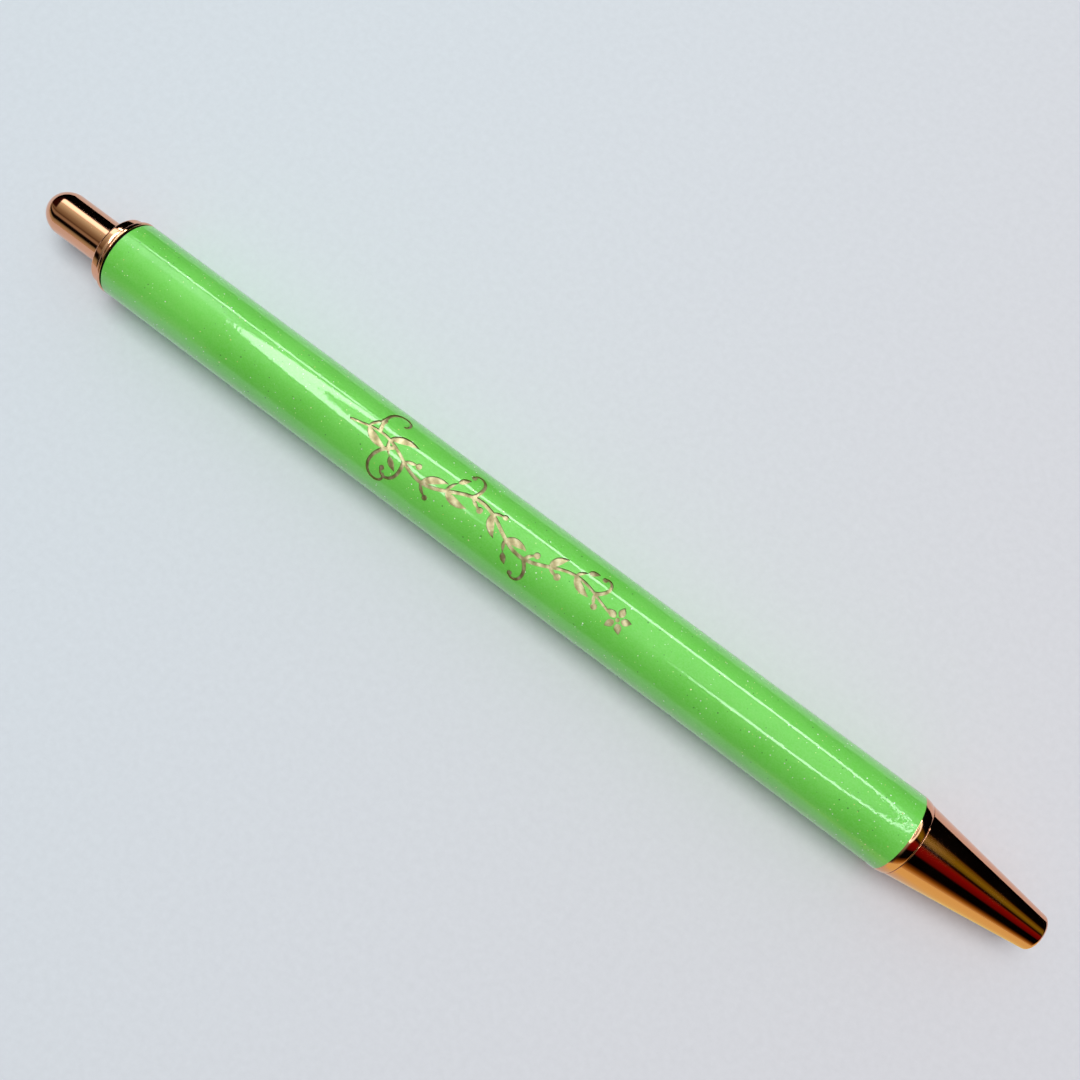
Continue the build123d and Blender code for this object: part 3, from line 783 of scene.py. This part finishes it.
def roundNormals(mesh):
    # true round normals on curved faces, flat ones on cut walls and ends
    normals = [None] * len(mesh.loops)
    for polygon in mesh.polygons:
        for loopIndex in polygon.loop_indices:
            place = mesh.vertices[mesh.loops[loopIndex].vertex_index].co
            outward = Vector((0, place.y, place.z - axisHeight)).normalized()
            facing = polygon.normal.dot(outward)
            if abs(facing) > 0.98:
                normals[loopIndex] = outward if facing > 0 else -outward
            else:
                normals[loopIndex] = polygon.normal.copy()
    mesh.normals_split_custom_set(normals)


coatOutline = [(barrelRear, tubeRadius), (barrelRear, barrelRadius),
               (barrelFront, barrelRadius), (barrelFront, tubeRadius)]
coatBlank = addObject("coatBlank", meshFrom(
    "coatBlank", spinOutline(coatOutline, steps=sprig["coatSteps"]), lacquer, scorchAndPaintedShade))
cutter = addObject("sprigCutter", cutterFrom(drawSprig()))
for polygon in cutter.data.polygons:
    polygon.material_index = 1    # walls that it cuts get the scorch colour, which also paints the shade inside the engraving
engrave = coatBlank.modifiers.new("engrave", "BOOLEAN")
engrave.operation = "DIFFERENCE"
engrave.solver = "EXACT"
engrave.use_self = True
engrave.object = cutter
bpy.context.view_layer.update()
cutMesh = bpy.data.meshes.new_from_object(
    coatBlank.evaluated_get(bpy.context.evaluated_depsgraph_get()))
bpy.data.objects.remove(coatBlank)
bpy.data.objects.remove(cutter)
merged = bmesh.new()
merged.from_mesh(cutMesh)
bmesh.ops.remove_doubles(merged, verts=merged.verts, dist=mergeWithin / 2)
merged.to_mesh(cutMesh)
merged.free()
cutMesh.name = "lacquer_coat"
cutMesh.shade_smooth()
roundNormals(cutMesh)
coat = addObject("lacquer_coat", cutMesh)
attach(coat, "barrel")
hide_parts("glitter_coat")
print("coat engraved:", len(cutMesh.polygons), "faces")

# brass tube under the coat, whose bared metal shows in the engraving
tube = {"bore": 4.15 * mm, "clearance": 0.002 * mm, "steps": 256}
tubeOuter = tubeRadius - tube["clearance"]
tubeOutline = [(barrelRear, tube["bore"]), (barrelRear, tubeOuter),
               (barrelFront, tubeOuter), (barrelFront, tube["bore"])]
makePiece("laser_marked_tube", spinOutline(tubeOutline, steps=tube["steps"]), [engraved],
          "barrel", "barrel_tube")
print("tube made")

# materials of the CAD pieces that stay
keptNodes = {"plunger": acetal, "rotating_cam": acetal, "cam_housing": acetal,
             "threaded_bush": brass, "refill_plug": acetal, "refill_tube": clearTube,
             "ink_follower": grease, "follower_float": acetal, "gel_ink": ink}
for node, material in keptNodes.items():
    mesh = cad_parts[node].data
    mesh.materials.clear()
    mesh.materials.append(material)

# surroundings: what the plating and the lacquer mirror. Turns are round the pen, in degrees from
# straight up, positive towards +Y; x is the direction's, -1 to the rear and 1 to the nose
room = {
    "background": "#DDE2E4", "sky": "#F4F8FB", "horizonLight": 0.32, "zenithLight": 0.44,
    "sideLean": 0.5, "outline": "#F4FFFA", "outlineStrength": 10.0, "lineShare": 0.8,
    "lampShare": 0.16, "beyondEnd": "#2A0F08",
    # turn, colour, and strength where it is not 1
    "rear": [(-180, "#B0A896"), (-95, "#E0DCC4"), (-85, "#BDBBA2", 0.9),
             (-72, "#94967A"), (-64, "#0E0A08", 0.5), (-50, "#0E0A08", 0.5),
             (-44, "#A79F8C", 0.8), (-36, "#8C8872"), (-30, "#5B4A38", 0.8),
             (-24, "#756F58"), (-10, "#92907A"), (6, "#B8C4AE"),
             (22, "#DCEBD6", 1.1), (27, "#F4FFFF", 2.2), (43, "#F4FFFF", 2.4),
             (50, "#2A2218", 0.6), (55, "#050403", 0.4), (98, "#050403", 0.4),
             (125, "#C9CDD0"), (180, "#B0A896")],
    "middle": [(-180, "#B0A896"), (-95, "#B8B49C"), (-82, "#3A3A2C", 0.8),
               (-60, "#2E3024", 0.8), (-45, "#6C7264"), (-20, "#A9B4A4", 0.9),
               (-6, "#D8E4DC"), (20, "#E0EEE6", 1.1), (48, "#D4E6DC", 1.1),
               (54, "#101210", 0.5), (98, "#0A0C0A", 0.5), (125, "#C9CDD0"),
               (180, "#B0A896")],
    "nose": [(-180, "#B0A896"), (-95, "#E6D68C"), (-80, "#9A7428"),
             (-70, "#5C3A06", 0.8), (-62, "#050302", 0.4), (-33, "#050302", 0.4),
             (-28, "#5E0804"), (-9, "#780A06", 1.1), (-1, "#6A2408"),
             (3, "#1E0402", 0.8), (8, "#1E0402", 0.8), (12, "#5E5A10"),
             (24, "#807A18"), (38, "#5C4A06"), (44, "#171004", 0.6),
             (50, "#050303", 0.4), (98, "#050303", 0.4), (125, "#C9CDD0"),
             (180, "#B0A896")],
    # edges of a screen over the barrel and of a lamp beyond the front ring: middle and half
    # size in x, the same in degrees, and how blunt the rear and the nose end are
    "ovals": {"screenOuter": (-0.051, 0.363, 20.4, 33.2, 2.3, 7.0),
              "screenInner": (-0.0125, 0.3125, 20.4, 27.2, 3.0, 7.0),
              "lampOuter": (0.28, 0.27, 18.0, 34.0, 3.0, 3.0),
              "lampInner": (0.28, 0.19, 18.0, 23.0, 3.0, 3.0)},
    # what each follows, where it is none and where it is full
    "fades": {"pastRear": ("x", -0.425, -0.405), "pastMiddle": ("x", 0.36, 0.5),
              "pastEnd": ("x", -0.66, -0.75), "overTop": ("degrees", -24, -12),
              "inScreen": ("screenOuter", 1.02, 0.96), "offScreen": ("screenInner", 0.97, 1.03),
              "gapRear": ("x", -0.19, -0.14), "gapNose": ("x", 0.13, 0.05),
              "gapLow": ("degrees", 30, 20), "lineLow": ("degrees", 48.8, 49.8),
              "lineHigh": ("degrees", 54.8, 53.6), "lineRear": ("x", -0.52, -0.47),
              "lineNose": ("x", -0.25, -0.30), "inLamp": ("lampOuter", 1.05, 0.95),
              "offLamp": ("lampInner", 0.9, 1.1), "lampRear": ("x", 0.36, 0.40)}}


def roomSteps():
    # one row for each node: the name of its result, what it does, and the values or the names
    # of earlier results that go in; a name may be used again
    steps = [("degrees", "MULTIPLY", "turn", 180 / math.pi)]
    for name, oval in room["ovals"].items():
        # under 1 inside the oval, over 1 outside it
        middleX, halfX, middleTurn, halfTurn, rearBluntness, noseBluntness = oval
        steps += [
            ("along", "SUBTRACT", "x", middleX), ("along", "DIVIDE", "along", halfX),
            ("noseward", "GREATER_THAN", "along", 0.0),
            ("bluntness", "MULTIPLY_ADD", "noseward", noseBluntness - rearBluntness,
             rearBluntness),
            ("along", "ABSOLUTE", "along"), ("along", "POWER", "along", "bluntness"),
            ("around", "SUBTRACT", "degrees", middleTurn),
            ("around", "DIVIDE", "around", halfTurn), ("around", "ABSOLUTE", "around"),
            ("around", "POWER", "around", 2.0), (name, "ADD", "along", "around")]
    steps += [(name, "SMOOTHSTEP", *fade) for name, fade in room["fades"].items()]
    return steps + [
        # the rear, the middle and the nose of the pen mirror different things
        ("mirrored", "BLEND", "pastRear", "rear", "middle"),
        ("mirrored", "BLEND", "pastMiddle", "mirrored", "nose"),
        # dark beyond the rear end of the pen
        ("beyond", "MULTIPLY", "pastEnd", "overTop"),
        ("mirrored", "BLEND", "beyond", "mirrored", toLinear(room["beyondEnd"])),
        # the screen's bright outline, which fades along the middle of its lower edge
        ("outline", "MULTIPLY", "inScreen", "offScreen"),
        ("gap", "MULTIPLY", "gapRear", "gapNose"), ("gap", "MULTIPLY", "gap", "gapLow"),
        ("lit", "SUBTRACT", 1.0, "gap"), ("outline", "MULTIPLY", "outline", "lit"),
        # its edge carries on to the rear as a thin line
        ("line", "MULTIPLY", "lineLow", "lineHigh"),
        ("lineLength", "MULTIPLY", "lineRear", "lineNose"),
        ("line", "MULTIPLY", "line", "lineLength"),
        ("line", "MULTIPLY", "line", room["lineShare"]),
        ("outline", "MAXIMUM", "outline", "line"),
        # and a lamp shows as an arc beyond the front ring
        ("lamp", "MULTIPLY", "inLamp", "offLamp"),
        ("lampPower", "MULTIPLY", "lampRear", room["lampShare"]),
        ("lamp", "MULTIPLY", "lamp", "lampPower"), ("outline", "MAXIMUM", "outline", "lamp"),
        ("mirrored", "BLEND", "outline", "mirrored",
         toLinear(room["outline"], room["outlineStrength"])),
        # light for everything that isn't a mirror: soft, brightest overhead and towards +Y
        ("lean", "MULTIPLY_ADD", "y", room["sideLean"], 1.0),
        ("light", "MULTIPLY", "height", "lean")]


def buildWorld():
    world = bpy.data.worlds.new("studio")
    scene.world = world
    world.use_nodes = True
    tree = world.node_tree
    tree.nodes.clear()
    direction = addNode(tree, "SeparateXYZ", {
        "Vector": addNode(tree, "TexCoord").outputs["Generated"]}).outputs
    turn = addNode(tree, "Math", {0: direction["Y"], 1: direction["Z"]}, operation="ARCTAN2")
    share = addNode(tree, "MapRange", {"Value": turn, "From Min": -math.pi, "From Max": math.pi})
    height = addNode(tree, "MapRange", {
        "Value": direction["Z"], "To Min": room["horizonLight"],
        "To Max": room["zenithLight"]})
    found = {"x": direction["X"], "y": direction["Y"], "turn": turn,
             "height": height}
    for name in ("rear", "middle", "nose"):
        found[name] = addNode(tree, "ValToRGB", {"Fac": share}, [
            ((degrees + 180) / 360, *colour) for degrees, *colour in room[name]])
    for name, doing, *values in roomSteps():
        values = [found[v] if isinstance(v, str) else v for v in values]
        if doing == "SMOOTHSTEP":
            found[name] = addNode(tree, "MapRange", dict(zip(
                ("Value", "From Min", "From Max"), values)), interpolation_type=doing)
        elif doing == "BLEND":
            found[name] = addNode(tree, "Mix", dict(zip(("Factor", "A", "B"), values)),
                                  data_type="RGBA")
        else:
            found[name] = addNode(tree, "Math", dict(enumerate(values)), operation=doing)
    sky = addNode(tree, "Mix", {
        "Factor": 1.0, "A": toLinear(room["sky"]), "B": found["light"]},
        data_type="RGBA", blend_type="MULTIPLY")
    # mirrors see the things around, the camera a plain backdrop, all else the soft light
    rays = addNode(tree, "LightPath").outputs
    fill = addNode(tree, "Mix", {
        "Factor": rays["Is Glossy Ray"], "A": sky, "B": found["mirrored"]},
        data_type="RGBA")
    seen = addNode(tree, "Mix", {
        "Factor": rays["Is Camera Ray"], "A": fill,
        "B": toLinear(room["background"])}, data_type="RGBA")
    shader = addNode(tree, "Background", {"Color": seen})
    addNode(tree, "OutputWorld", {"Surface": shader})


buildWorld()

# cards that only mirrors see: from one corner along two sides, one colour at the rear edge and
# another from 12 mm on
cardFade = 12 * mm
cards = {
    "darkEdge": {"corner": (-0.4, 0.035, 0.0), "across": (0.8, 0, 0), "up": (0, 0, 0.027),
                 "rear": "#050403", "rest": "#050403", "strength": 0.5},
    "warmStrip": {"corner": (0.054, -0.002, 0.0002), "across": (0.3, 0, 0), "up": (0, -0.5, 0),
                  "rear": "#D8DCDE", "rest": "#F7ED9C", "strength": 0.85}}
for name, card in cards.items():
    corner = Vector(card["corner"])
    sheet = bmesh.new()
    side = sheet.edges.new([sheet.verts.new(corner),
                            sheet.verts.new(corner + Vector(card["across"]))])
    drawn = bmesh.ops.extrude_edge_only(sheet, edges=[side])
    bmesh.ops.translate(sheet, verts=picked(drawn["geom"]), vec=card["up"])
    material = bpy.data.materials.new(name)
    material.use_nodes = True
    tree = material.node_tree
    along = addNode(tree, "SeparateXYZ", {"Vector": addNode(tree, "TexCoord").outputs["Object"]})
    share = addNode(tree, "MapRange", {
        "Value": along.outputs["X"], "From Min": corner.x, "From Max": corner.x + cardFade},
        interpolation_type="SMOOTHSTEP")
    tone = addNode(tree, "Mix", {
        "Factor": share, "A": toLinear(card["rear"]),
        "B": toLinear(card["rest"])}, data_type="RGBA")
    glow = addNode(tree, "Emission", {"Color": tone, "Strength": card["strength"]})
    feed(tree.nodes["Material Output"], {"Surface": glow})
    shown = addObject(name, meshFrom(name, sheet, material))
    shown.visible_camera = shown.visible_diffuse = False
    shown.visible_shadow = shown.visible_transmission = False

# key light, high over the pen and a little to its +Y side; mirrors don't see it
keyLight = {"place": Vector((0.02, 0.10, 0.80)), "size": (0.60, 0.46), "power": 4.15,
            "colour": "#FFFCF6"}
lamp = addObject("keyLight", bpy.data.lights.new("keyLight", "AREA"))
lamp.data.shape = "RECTANGLE"
lamp.data.size, lamp.data.size_y = keyLight["size"]
lamp.data.energy = keyLight["power"]
lamp.data.color = toLinear(keyLight["colour"])[:3]
lamp.location = keyLight["place"]
lamp.rotation_euler = (-keyLight["place"]).to_track_quat("-Z", "Y").to_euler()
lamp.visible_glossy = False

bpy.context.view_layer.update()
